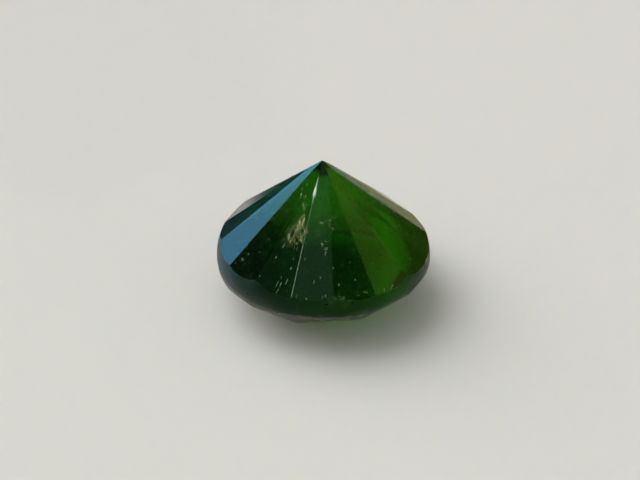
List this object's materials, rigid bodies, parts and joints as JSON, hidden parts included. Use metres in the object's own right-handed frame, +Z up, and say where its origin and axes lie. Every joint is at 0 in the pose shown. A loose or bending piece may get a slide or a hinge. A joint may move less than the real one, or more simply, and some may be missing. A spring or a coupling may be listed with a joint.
{
  "type": "demantoid garnet",
  "caption": "Loose green demantoid garnet, cut as a round brilliant with a thick ground girdle and a tiny culet, lying face down on its table.",
  "frame": {"origin": "under the centre of the girdle, on the surface that the stone's table lies on", "axes": "+Z up from the table to the culet, square to the table; -Y towards one of the pavilion mains"},
  "size_m": [0.006, 0.006, 0.0041],
  "materials": {
    "demantoid_green": "clear deep green stone, polished facets, finely ground girdle"
  },
  "bodies": {
    "root": {"demantoid": "demantoid_green"}
  },
  "joints": []
}
